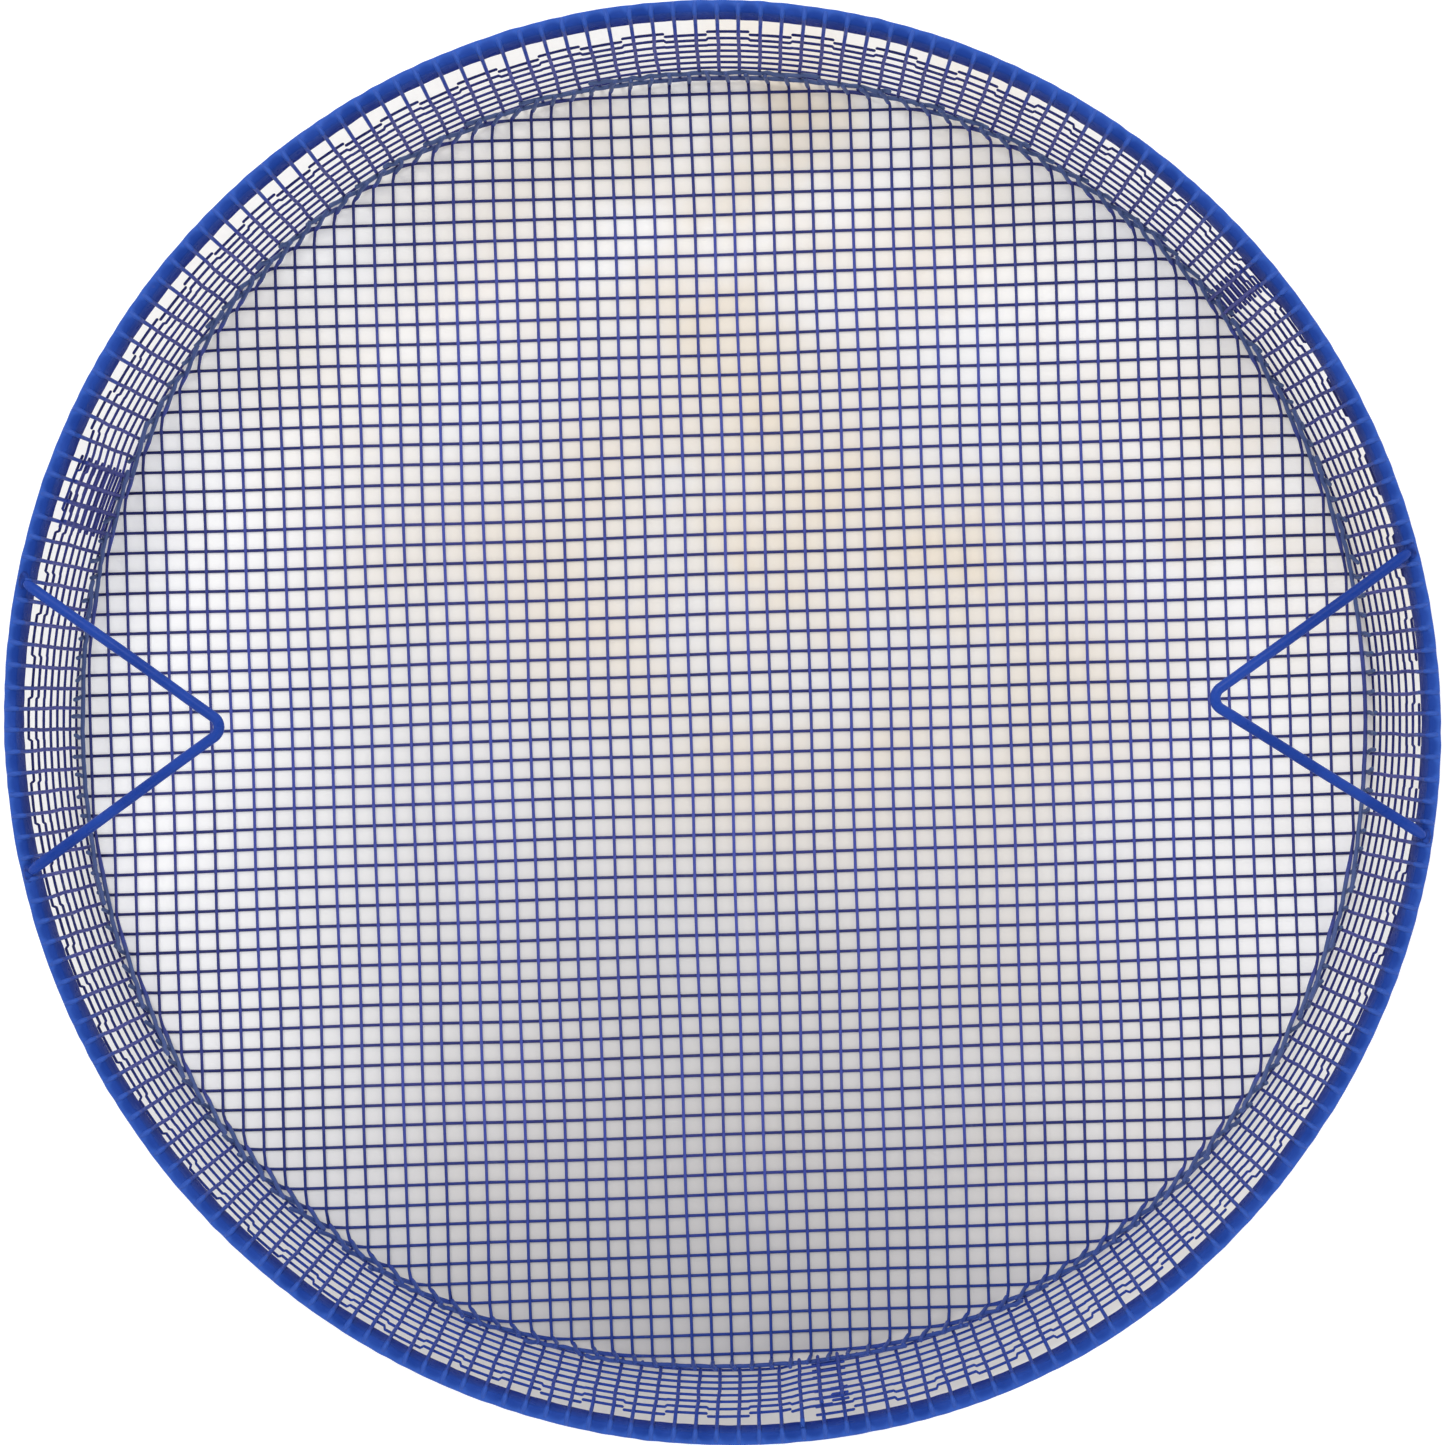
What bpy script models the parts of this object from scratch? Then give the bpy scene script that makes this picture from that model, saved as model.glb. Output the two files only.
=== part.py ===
"""A shallow round leaf-skimmer basket of coated welded wire mesh.

A flat mesh disc with its edge turned up forms the bottom.  Three mesh panels, lapped at
their seams, form an upright wall inside a flat bar hoop, and their ends bend out over the top
of the bar.  Two V-shaped rod handles point inwards over the basket and are welded on the hoop.

Each mesh is one lattice that carries every fourth wire of a quarter-inch mesh.
Units are metres.  The origin is the centre of the underside and +Z points out of the mouth.
"""

import math

import bmesh
import bpy
from mathutils import Matrix, Vector

MM = 0.001

# ---- mesh ----------------------------------------------------------------------------
PITCH = 6.35 * MM
WIRES_PER_BAR = 4
BAR_SPACING = PITCH * WIRES_PER_BAR
BAR_WIDTH = 2.0 * MM
SHEET = 1.0 * MM
CLEARANCE = 0.3 * MM

# ---- hoop: a flat bar, 1/8 by 5/16 inch, stood on edge ----------------------------------
HOOP_OUTER_RADIUS = 210.4 * MM
HOOP_THICKNESS = 3.2 * MM
HOOP_INNER_RADIUS = HOOP_OUTER_RADIUS - HOOP_THICKNESS
HOOP_DEPTH = 8.0 * MM
HOOP_TOP = 60.0 * MM
HOOP_EDGE = 0.6 * MM
HOOP_STEPS = 120

# ---- wall ----------------------------------------------------------------------------
WALL_RADIUS = HOOP_INNER_RADIUS - CLEARANCE - SHEET / 2
WALL_TOP = HOOP_TOP + CLEARANCE + SHEET / 2
WALL_ROWS = 3
TURNOVER = 2.6 * MM
BARS_PER_PANEL = 16

# Each panel runs from its seam to the next one, and laps behind the panel that starts there.
SEAM_ANGLES = (39.75, 159.9, 279.0)
LAP_ANGLES = (1.8, 5.3, 1.8)
LAP_DEPTH = SHEET + 2 * CLEARANCE

# ---- bottom --------------------------------------------------------------------------
DISC_THICKNESS = 2.0 * MM
DISC_STEPS = 90
LIP_RADIUS = 203.5 * MM
LIP_HEIGHT = 12.4 * MM
BORDER_WIDTH = 3.0 * MM
OPEN_RADIUS = LIP_RADIUS - BORDER_WIDTH
GRID_TURN = math.radians(1.9)

# ---- handles -------------------------------------------------------------------------
HANDLE_ROD_RADIUS = 1.6 * MM
HANDLE_LIFT = 0.6 * MM
HANDLE_HEIGHT = HOOP_TOP + HANDLE_LIFT + HANDLE_ROD_RADIUS
HANDLE_END_RADIUS = 207.4 * MM
BEND_RADIUS = 3.7 * MM
BEND_STEPS = 6
# side: directions of its two ends, then direction and reach of the corner where its arms meet
HANDLES = {
    "left": ((168.7, 192.1), 180.5, 144.0 * MM),
    "right": ((-9.1, 13.9), 2.8, 140.7 * MM),
}
WELD_RADIUS = 1.6 * MM
WELD_HEIGHT = HOOP_TOP + CLEARANCE + WELD_RADIUS

# ---- coating -------------------------------------------------------------------------
HOOP_BLUE = (0.028, 0.085, 0.46, 1.0)
WALL_BLUE = (0.030, 0.070, 0.34, 1.0)
BOTTOM_BLUE = (0.016, 0.035, 0.15, 1.0)
HANDLE_BLUE = (0.020, 0.080, 0.50, 1.0)
WELD_BLUE = (0.030, 0.080, 0.38, 1.0)


def clear_scene():
    for obj in list(bpy.data.objects):
        bpy.data.objects.remove(obj, do_unlink=True)


def new_collection(name):
    group = bpy.data.collections.new(name)
    bpy.context.scene.collection.children.link(group)
    return group


def coat(name, colour, roughness):
    """A dipped plastic coating."""
    material = bpy.data.materials.new(name)
    material.use_nodes = True
    shader = material.node_tree.nodes["Principled BSDF"]
    shader.inputs["Base Color"].default_value = colour
    shader.inputs["Roughness"].default_value = roughness
    shader.inputs["Metallic"].default_value = 0.0
    material.diffuse_color = colour
    return material


def link(name, data, group, material=None):
    """A new object for this mesh or curve, in its collection and with its coating."""
    obj = bpy.data.objects.new(name, data)
    group.objects.link(obj)
    if material:
        data.materials.append(material)
    return obj


def adopt(obj, name, group, material=None):
    """Names an object made by an operator, and moves it to its collection."""
    obj.name = name
    for holder in list(obj.users_collection):
        holder.objects.unlink(obj)
    group.objects.link(obj)
    if material:
        obj.data.materials.append(material)
    return obj


def mark_cutter(obj):
    obj.hide_render = True
    obj.display_type = "WIRE"
    return obj


def turned(name, profile, steps, group, material):
    """A profile of (radius, height) points turned about Z, its outer side from top to bottom."""
    mesh = bpy.data.meshes.new(name)
    edges = [(step, step + 1) for step in range(len(profile) - 1)]
    mesh.from_pydata([(radius, 0.0, height) for radius, height in profile], edges, [])
    shape = link(name, mesh, group, material)
    screw = shape.modifiers.new("turn", "SCREW")
    screw.steps = steps
    screw.render_steps = steps
    screw.use_merge_vertices = True
    screw.merge_threshold = 0.01 * MM
    return shape


# ---- hoop ----------------------------------------------------------------------------
def build_hoop(group):
    """The flat bar bent into the hoop at the mouth, its top edges eased."""
    foot = HOOP_TOP - HOOP_DEPTH
    profile = (
        (HOOP_INNER_RADIUS + HOOP_EDGE, HOOP_TOP),
        (HOOP_OUTER_RADIUS - HOOP_EDGE, HOOP_TOP),
        (HOOP_OUTER_RADIUS, HOOP_TOP - HOOP_EDGE),
        (HOOP_OUTER_RADIUS, foot),
        (HOOP_INNER_RADIUS, foot),
        (HOOP_INNER_RADIUS, HOOP_TOP - HOOP_EDGE),
        (HOOP_INNER_RADIUS + HOOP_EDGE, HOOP_TOP),
    )
    return turned("rim_hoop", profile, HOOP_STEPS, group, coat("coat_hoop", HOOP_BLUE, 0.38))


# ---- bottom --------------------------------------------------------------------------
def turned_disc(group):
    """The blank disc with its upturned edge."""
    lip_inside = LIP_RADIUS - SHEET
    profile = (
        (0.0, DISC_THICKNESS),
        (lip_inside, DISC_THICKNESS),
        (lip_inside, LIP_HEIGHT),
        (LIP_RADIUS, LIP_HEIGHT),
        (LIP_RADIUS, 0.0),
        (0.0, 0.0),
    )
    material = coat("coat_bottom", BOTTOM_BLUE, 0.48)
    return turned("bottom_mesh", profile, DISC_STEPS, group, material)


def grid_openings(group):
    """One square prism for each mesh opening that reaches well inside the border."""
    opening = BAR_SPACING - BAR_WIDTH
    depth = 4 * DISC_THICKNESS
    half_count = math.ceil(OPEN_RADIUS / BAR_SPACING)
    shape = bmesh.new()
    for column in range(-half_count, half_count):
        for row in range(-half_count, half_count):
            across = (column + 0.5) * BAR_SPACING
            along = (row + 0.5) * BAR_SPACING
            nearest = math.hypot(abs(across) - opening / 2, abs(along) - opening / 2)
            if nearest > OPEN_RADIUS - BORDER_WIDTH:
                continue
            place = Matrix.Translation((across, along, 0.0))
            size = Matrix.Diagonal((opening, opening, depth, 1.0))
            bmesh.ops.create_cube(shape, size=1.0, matrix=place @ size)
    mesh = bpy.data.meshes.new("grid_openings")
    shape.to_mesh(mesh)
    shape.free()
    grid = link("grid_openings", mesh, group)
    grid.rotation_euler.z = GRID_TURN
    return mark_cutter(grid)


def open_circle(group):
    """The round area inside the border that the mesh openings keep to."""
    bpy.ops.mesh.primitive_cylinder_add(
        vertices=DISC_STEPS, radius=OPEN_RADIUS, depth=3 * DISC_THICKNESS
    )
    return mark_cutter(adopt(bpy.context.active_object, "open_circle", group))


def add_boolean(target, cutter, operation):
    modifier = target.modifiers.new(operation.lower(), "BOOLEAN")
    modifier.operation = operation
    modifier.solver = "EXACT"
    modifier.object = cutter


def build_bottom(group, cutters):
    """The mesh disc with its cut edge turned up against the wall."""
    grid = grid_openings(cutters)
    add_boolean(grid, open_circle(cutters), "INTERSECT")
    disc = turned_disc(group)
    add_boolean(disc, grid, "DIFFERENCE")
    return disc


# ---- wall ----------------------------------------------------------------------------
def wall_section():
    """The section of the wall as (offset outwards, height, level bar follows) steps.

    It runs from the foot up the inside of the hoop and out over its top.
    """
    straight = HOOP_TOP - HOOP_DEPTH
    row = (straight - BAR_WIDTH - SHEET / 2) / WALL_ROWS
    section = []
    for level in range(WALL_ROWS + 1):
        foot = SHEET / 2 + level * row
        section.append((0.0, foot, True))
        section.append((0.0, foot + BAR_WIDTH, False))
    section.append((0.0, WALL_TOP, False))
    section.append((TURNOVER, WALL_TOP, False))
    return section


def panel_columns(start, end, lap):
    """The columns of a panel as (angle, depth inwards, upright bar follows) steps."""
    bar = BAR_WIDTH / WALL_RADIUS
    columns = []
    for index in range(BARS_PER_PANEL):
        angle = start + (end - start) * index / BARS_PER_PANEL
        columns.append((angle, 0.0, True))
        columns.append((angle + bar, 0.0, False))
    columns.append((end - 2 * bar, LAP_DEPTH, False))
    columns.append((end + lap, LAP_DEPTH, True))
    columns.append((end + lap + bar, LAP_DEPTH, False))
    return columns


def build_panel(name, columns, section, group, material):
    """One wall panel: a grid laid along the wall, its openings removed, with a thickness.

    The lapped end stops below the hoop, inside the next panel.
    """
    hoop_start = 2 * (WALL_ROWS + 1) - 1
    shape = bmesh.new()
    bmesh.ops.create_grid(
        shape, x_segments=len(columns) - 1, y_segments=len(section) - 1, size=0.5
    )
    openings = []
    for face in shape.faces:
        centre = face.calc_center_median()
        column = math.floor((centre.x + 0.5) * (len(columns) - 1))
        step = math.floor((centre.y + 0.5) * (len(section) - 1))
        lapped = columns[column + 1][1] > 0.0
        if not (columns[column][2] or section[step][2]) or (lapped and step >= hoop_start):
            openings.append(face)
    for vertex in shape.verts:
        angle, depth, _ = columns[round((vertex.co.x + 0.5) * (len(columns) - 1))]
        offset, height, _ = section[round((vertex.co.y + 0.5) * (len(section) - 1))]
        radius = WALL_RADIUS + offset - depth
        vertex.co = (radius * math.cos(angle), radius * math.sin(angle), height)
    bmesh.ops.delete(shape, geom=openings, context="FACES")
    mesh = bpy.data.meshes.new(name)
    shape.to_mesh(mesh)
    shape.free()
    panel = link(name, mesh, group, material)
    sheet = panel.modifiers.new("sheet", "SOLIDIFY")
    sheet.thickness = SHEET
    sheet.offset = 0.0
    sheet.use_even_offset = True
    return panel


def build_wall(group):
    material = coat("coat_wall", WALL_BLUE, 0.42)
    section = wall_section()
    for index, letter in enumerate("abc"):
        start = SEAM_ANGLES[index]
        following = (index + 1) % len(SEAM_ANGLES)
        end = SEAM_ANGLES[following] + (360.0 if following == 0 else 0.0)
        columns = panel_columns(
            math.radians(start), math.radians(end), math.radians(LAP_ANGLES[following])
        )
        build_panel(f"wall_panel_{letter}", columns, section, group, material)


# ---- handles -------------------------------------------------------------------------
def in_plan(reach, degrees):
    """A point of the plan at this distance from the axis and in this direction."""
    angle = math.radians(degrees)
    return Vector((reach * math.cos(angle), reach * math.sin(angle)))


def handle_route(side):
    """The centre line of a V-shaped handle in plan: end, rounded corner, end."""
    end_directions, corner_direction, reach = HANDLES[side]
    ends = [in_plan(HANDLE_END_RADIUS, direction) for direction in end_directions]
    corner = in_plan(reach, corner_direction)
    arms = [(end - corner).normalized() for end in ends]
    half_angle = arms[0].angle(arms[1]) / 2
    centre = corner + (arms[0] + arms[1]).normalized() * (BEND_RADIUS / math.sin(half_angle))
    spokes = [corner + arm * (BEND_RADIUS / math.tan(half_angle)) - centre for arm in arms]
    bend = [
        centre + BEND_RADIUS * spokes[0].slerp(spokes[1], step / BEND_STEPS)
        for step in range(BEND_STEPS + 1)
    ]
    return [ends[0], *bend, ends[1]]


def build_handle(side, route, material, group):
    """A V of bent rod, both ends over the hoop and its corner over the basket."""
    curve = bpy.data.curves.new(f"handle_{side}", "CURVE")
    curve.dimensions = "3D"
    curve.bevel_depth = HANDLE_ROD_RADIUS
    curve.bevel_resolution = 2
    curve.use_fill_caps = True
    spline = curve.splines.new("POLY")
    spline.points.add(len(route) - 1)
    for point, place in zip(spline.points, route):
        point.co = (place.x, place.y, 0.0, 1.0)
        point.radius = 1.0
    handle = link(f"handle_{side}", curve, group, material)
    handle.location.z = HANDLE_HEIGHT
    return handle


def build_weld(name, handle, end, inner, material, group):
    """A small weld deposit on the hoop, just past one end of a handle."""
    bpy.ops.mesh.primitive_uv_sphere_add(segments=10, ring_count=6, radius=WELD_RADIUS)
    weld = adopt(bpy.context.active_object, name, group, material)
    weld.data.shade_smooth()
    weld.parent = handle
    place = end + (end - inner).normalized() * (WELD_RADIUS + CLEARANCE)
    weld.location = (place.x, place.y, WELD_HEIGHT - HANDLE_HEIGHT)


def build_handles(group):
    handle_coat = coat("coat_handle", HANDLE_BLUE, 0.34)
    weld_coat = coat("coat_weld", WELD_BLUE, 0.50)
    for side in HANDLES:
        route = handle_route(side)
        handle = build_handle(side, route, handle_coat, group)
        build_weld(f"weld_{side}_a", handle, route[0], route[1], weld_coat, group)
        build_weld(f"weld_{side}_b", handle, route[-1], route[-2], weld_coat, group)


def main():
    clear_scene()
    parts = new_collection("leaf_skimmer_basket")
    cutters = new_collection("cutters")
    build_hoop(parts)
    build_bottom(parts, cutters)
    build_wall(parts)
    build_handles(parts)


main()
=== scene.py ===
"""The looks of a shallow round leaf-skimmer basket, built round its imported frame.

Every wire of the quarter-inch welded mesh is drawn: the bottom disc with its edge turned up,
and three lapped wall panels whose uprights bend out over a flat bar hoop.  Two V-shaped rod
handles lie on the hoop, each held by two welds.  All of it wears a dipped blue coat.

Lengths are in metres.  Angles run counter-clockwise from +X, seen from above.
"""

import math

import bpy
import numpy as np
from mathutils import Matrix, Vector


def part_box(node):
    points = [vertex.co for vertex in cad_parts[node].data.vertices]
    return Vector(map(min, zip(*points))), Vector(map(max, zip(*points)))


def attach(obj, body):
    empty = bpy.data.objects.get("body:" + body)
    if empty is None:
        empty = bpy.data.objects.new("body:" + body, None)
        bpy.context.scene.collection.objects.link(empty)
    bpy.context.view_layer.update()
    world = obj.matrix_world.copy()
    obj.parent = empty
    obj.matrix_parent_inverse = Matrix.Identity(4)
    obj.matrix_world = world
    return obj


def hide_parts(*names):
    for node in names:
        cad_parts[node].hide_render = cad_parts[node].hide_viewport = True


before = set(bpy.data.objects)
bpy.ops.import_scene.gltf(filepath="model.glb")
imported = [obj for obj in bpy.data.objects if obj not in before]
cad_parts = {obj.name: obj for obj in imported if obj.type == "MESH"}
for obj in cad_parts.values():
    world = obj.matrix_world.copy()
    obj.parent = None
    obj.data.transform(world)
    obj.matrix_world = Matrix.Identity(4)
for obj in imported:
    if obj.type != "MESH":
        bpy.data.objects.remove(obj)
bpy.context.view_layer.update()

MM = 0.001
UP = np.array((0.0, 0.0, 1.0))

# ---- welded mesh ---------------------------------------------------------------------
PITCH = 6.35 * MM
UPRIGHT_WIRE = 0.55 * MM
LEVEL_WIRE = 0.42 * MM
BOTTOM_WIRE = 0.49 * MM
WIRE_SIDES = 6
# Where two wires cross, the coat makes each one this much thicker, over this reach.
SWELL = 1.14
SWELL_REACH = 0.9 * MM
TIP_TAPER = 0.55
UNEVEN_WIRE = 0.03

# ---- hoop ----------------------------------------------------------------------------
HOOP_LOW, HOOP_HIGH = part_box("rim_hoop")
HOOP_OUTER = HOOP_HIGH.x
HOOP_BAR = 3.2 * MM
HOOP_INNER = HOOP_OUTER - HOOP_BAR
HOOP_TOP = HOOP_HIGH.z
HOOP_FOOT = HOOP_LOW.z
HOOP_CORNER = 0.8 * MM
HOOP_CORNER_POINTS = 5
HOOP_EDGE = 1.5 * HOOP_CORNER
HOOP_STEPS = 2100
HOOP_COAT = 0.2 * MM
HOOP_OUTER_COAT = 0.25 * MM
# Waves in the coat of the hoop: how many, their height, and the range of their number round it.
COAT_WAVES = 26
COAT_WAVE = 0.018 * MM
COAT_WAVE_RANGE = (20, 240)
# The coat builds up where an upright crosses the inner top edge. Its top there is lighter with
# painted highlight, and between the uprights it is darker with painted shade.
FILLET_WIDTH = 1.2 * MM
FILLET_HEIGHT = 0.45 * MM
FILLET_HIGHLIGHT = 0.40
TOP_SHADE_DROP = 0.12
OVAL = 0.0062
OVAL_DIRECTION = math.radians(121.0)
# A place where the hoop was knocked outwards: direction, how far, and how wide.
KNOCK = (math.radians(300.0), 0.0045, math.radians(16.0))

# ---- wall ----------------------------------------------------------------------------
WALL_RADIUS = HOOP_INNER - 0.6 * MM
LEVEL_RADIUS_GAP = UPRIGHT_WIRE + LEVEL_WIRE
ROW_FOOT = 1.0 * MM
TOP_ROW = 7
TOP_ROW_HEIGHT = ROW_FOOT + TOP_ROW * PITCH
PANEL_SQUARES = 70
SQUARE_ANGLE = PITCH / WALL_RADIUS
# For each panel: the angle of its first upright, the angle of one of its squares, how many
# squares of its far end lap inside the next panel, and how far its top row leans outwards at
# its start, middle and end.
PANELS = {
    "a": (math.radians(39.18), 1.0050 * SQUARE_ANGLE, 3.1, (0.0, -1.5 * MM, 0.8 * MM)),
    "b": (math.radians(157.92), 0.9905 * SQUARE_ANGLE, 1.5, (-0.6 * MM, -0.2 * MM, -0.6 * MM)),
    "c": (math.radians(278.22), 0.9963 * SQUARE_ANGLE, 1.3, (1.0 * MM, 1.2 * MM, 0.2 * MM)),
}
# A lapped end steps inwards and up, over this many squares.
LAP_RUN = 1.5
LAP_DEPTH = 2.0 * MM
LAP_LIFT = 2.4 * MM
# The upper rows jog in and out every two squares, most at the top.
RIPPLE = 0.38 * MM
RIPPLE_BY_ROW = (0.0, 0.0, 0.0, 0.0, 0.05, 0.15, 0.6, 1.0)
RIPPLE_LIFT = 0.6
JOG = 0.05
JOGGED_ROWS = 3
LEVEL_END = 0.3
LEVEL_SAG = 0.10 * MM
LEVEL_TONE = 0.20
LAP_TONE = 0.5
UPRIGHT_FOOT = 0.45 * MM
UPRIGHT_SWAY = 0.035
UPRIGHT_TONE = 0.80
# Where the top row is cut into pieces two squares long, in degrees.
CUT_STRETCHES = ((66.0, 157.0), (252.0, 281.0), (306.0, 318.0), (352.0, 366.0))
CUT_GAP = 0.35 * MM
# The end of an upright, bent out over the hoop.
TURNOVER = 2.3 * MM
TURNOVER_BEND = 1.0 * MM
TURNOVER_SWELL = 1.5
TURNOVER_SLANT = 0.35 * MM
TURNOVER_TONE = 0.95

# ---- bottom --------------------------------------------------------------------------
BEND_RADIUS = 1.8 * MM
LIP_RADIUS = WALL_RADIUS - UPRIGHT_WIRE
BEND_START = LIP_RADIUS - BEND_RADIUS
BEND_LENGTH = BEND_RADIUS * math.pi / 2
LIP_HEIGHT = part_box("bottom_mesh")[1].z
FLAT_RADIUS = BEND_START + BEND_LENGTH + LIP_HEIGHT - BEND_RADIUS
GRID_TURN = math.radians(1.9)
GRID_PHASE = (0.27, 0.37)
GRID_STRETCH = np.array((1.006, 1.008))
# Waves that bend the sheet within its plane. For the shift along X, then along Y: height,
# radians per metre along X and along Y, and phase.
SHEET_WAVES = (
    ((0.20 * MM, 1 / 0.031, 1 / 0.052, 0.0), (0.12 * MM, -1 / 0.023, 1 / 0.014, 2.3)),
    ((0.20 * MM, -1 / 0.047, 1 / 0.036, 1.1), (0.12 * MM, 1 / 0.015, 1 / 0.026, 0.0)),
)
# For the lower layer of wires, then the upper one: height and tone. The tone is painted light on the
# upper layer and painted shade on the lower one.
LAYERS = ((0.50 * MM, 0.42), (1.38 * MM, 0.80))
WIRE_WANDER = 0.05 * MM
SHORTEST_WIRE_GAP = 2.0 * MM
CUT_UNEVEN = (-3.0 * MM, 0.3 * MM)
FINE_STEP = 0.8 * MM
# How far the turned-up edge is crumpled inwards, sideways and upwards.
CRUMPLE = (0.9 * MM, 1.2 * MM, 0.5 * MM)
# Painted shade on the flat wires towards the edge of the disc: where it starts and ends, and how
# deep it goes.
EDGE_SHADE_SPAN = (140.0 * MM, 205.0 * MM)
EDGE_SHADE_MOST = 0.3
LIP_SWELL = 0.45

# ---- handles -------------------------------------------------------------------------
ROD_SIDES = 20
ROD_BEND = 3.7 * MM
ROD_BEND_STEPS = 13
ARM_STEPS = 40
ROD_WANDER = 0.10 * MM
UNEVEN_ROD = 0.018
# Near its ends the rod dips onto the bar: how far in that starts, and over what run.
DIP_START = 6.0 * MM
DIP_RUN = 7.0 * MM
DIP_REST = 0.8
# Where the arms of each handle would meet: direction and distance from the axis.
CORNERS = {"left": (math.radians(180.5), 144.0 * MM), "right": (math.radians(2.8), 140.7 * MM)}
# Half the length of a weld along the bar, half its width across it, and its height.
WELD_SIZE = (2.8 * MM, 1.4 * MM, 1.5 * MM)
WELD_RINGS = 12
WELD_SIDES = 20
WELD_LUMPS = 0.10
WELD_INSET = 1.2 * MM
WELD_GAP = 1.6 * MM

# ---- studio --------------------------------------------------------------------------
CAMERA_PLACE = (9.0 * MM, 3.0 * MM, 680.0 * MM)
SENSOR = 36.0
HOOP_SHARE = 0.997
# Stains and painted shade on the floor end at this radius.
STAIN_AND_SHADE_RADIUS = 231.0 * MM
FLOOR_RADIUS = 3.0
BACKDROP_BEND = 1.5
BACKDROP_HEIGHT = 4.0
BACKDROP_STEPS = 16
BACKDROP_SIDES = 96
FLOOR_GLOW = 0.35
# The middle of a painted shadow on the floor at the near side of the basket.
NEAR_SHADOW_MIDDLE = (0.0, -0.215, 0.0)
# Stains on the floor under the basket: the middle, the reach and the strength of each.
STAINS = (
    ((0.02, 0.17, 0.0), 0.13, 1.0),
    ((0.03, 0.04, 0.0), 0.14, 1.0),
    ((-0.08, 0.10, 0.0), 0.13, 0.6),
    ((0.16, 0.05, 0.0), 0.12, 0.7),
    ((-0.02, -0.18, 0.0), 0.12, 0.7),
    ((0.10, -0.12, 0.0), 0.12, 0.5),
)


# ---- small helpers -------------------------------------------------------------------
def unit(vectors):
    return vectors / np.linalg.norm(vectors, axis=-1, keepdims=True)


def ease(share):
    """A smooth climb from 0 to 1 as share goes from 0 to 1."""
    share = np.clip(share, 0.0, 1.0)
    return share * share * (3.0 - 2.0 * share)


def wander(rng, count, knots):
    """A smooth random run of count numbers between -1 and 1."""
    places = np.linspace(0.0, knots - 1.0, count)
    base = np.minimum(places.astype(int), knots - 2)
    share = ease(places - base)
    values = rng.uniform(-1.0, 1.0, knots)
    return values[base] * (1.0 - share) + values[base + 1] * share


def spot(radius, angle, height):
    """Points at this radius, angle and height, one row each."""
    return np.stack(
        np.broadcast_arrays(radius * np.cos(angle), radius * np.sin(angle), height), axis=-1
    )


def oval(angle):
    """How far out the bent hoop runs at an angle, as a share of its mean radius."""
    direction, size, width = KNOCK
    away = np.mod(angle - direction + math.pi, 2.0 * math.pi) - math.pi
    knocked = size * np.exp(-((away / width) ** 2))
    return 1.0 + OVAL * np.cos(2.0 * (angle - OVAL_DIRECTION)) + knocked


class WireMesh:
    """Gathers swept wires into one mesh, with a tone at every vertex for its material."""

    def __init__(self):
        self.points = []
        self.tones = []
        self.faces = []
        self.total = 0

    def sweep(self, path, radii, side, tone, sides=WIRE_SIDES):
        """Sweeps a round wire along a path. side is any direction that is never along it."""
        path = np.asarray(path, float)
        radii = np.broadcast_to(radii, len(path)).astype(float)
        tones = np.broadcast_to(tone, len(path)).astype(float)
        tangents = unit(np.gradient(path, axis=0))
        first = path[0] - tangents[0] * radii[0] * TIP_TAPER
        last = path[-1] + tangents[-1] * radii[-1] * TIP_TAPER
        path = np.vstack((first, path, last))
        radii = np.concatenate(([radii[0] * TIP_TAPER], radii, [radii[-1] * TIP_TAPER]))
        tones = np.concatenate((tones[:1], tones, tones[-1:]))
        tangents = np.vstack((tangents[:1], tangents, tangents[-1:]))
        across = unit(side - tangents * (tangents @ side)[:, None])
        over = np.cross(tangents, across)
        turns = 2.0 * math.pi * np.arange(sides) / sides
        ring = (
            np.cos(turns)[None, :, None] * across[:, None, :]
            + np.sin(turns)[None, :, None] * over[:, None, :]
        )
        rings = path[:, None, :] + radii[:, None, None] * ring
        self.add_rings(rings, np.repeat(tones[:, None], sides, axis=1), closed=False)

    def add_rings(self, rings, tones, closed):
        """Joins a run of rings, each listed counter-clockwise about the way the run goes.

        tones holds one number for every point.
        """
        count, sides, _ = rings.shape
        index = self.total + np.arange(count * sides).reshape(count, sides)
        after = np.roll(index, -1, axis=1)
        following = np.roll(index, -1, axis=0)
        following_after = np.roll(after, -1, axis=0)
        quads = np.stack((index, after, following_after, following), axis=-1)
        if not closed:
            quads = quads[:-1]
            self.faces.append(index[0, ::-1].tolist())
            self.faces.append(index[-1].tolist())
        self.faces.extend(quads.reshape(-1, 4).tolist())
        self.points.append(rings.reshape(-1, 3))
        self.tones.append(tones.ravel())
        self.total += count * sides

    def build(self, name, material, slot, *nodes):
        """Makes the piece, which rides on the basket and stands for these CAD nodes."""
        mesh = bpy.data.meshes.new(name)
        mesh.from_pydata(np.concatenate(self.points).tolist(), [], self.faces)
        mesh.shade_smooth()
        tones = mesh.attributes.new("tone", "FLOAT", "POINT")
        tones.data.foreach_set("value", np.concatenate(self.tones).astype(np.float32))
        mesh.materials.append(material)
        piece = bpy.data.objects.new(name, mesh)
        bpy.context.scene.collection.objects.link(piece)
        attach(piece, "root")
        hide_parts(*nodes)
        return piece


# ---- materials -----------------------------------------------------------------------
COAT_IOR = 1.3
BUMP_STRENGTH = 0.6
PLAIN_TONE = 0.5
DUST = (0.10, 0.13, 0.24)
DIPPED_BLUE = (0.020, 0.062, 0.36)
RIDGE_BLUE = (0.036, 0.105, 0.46)


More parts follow.
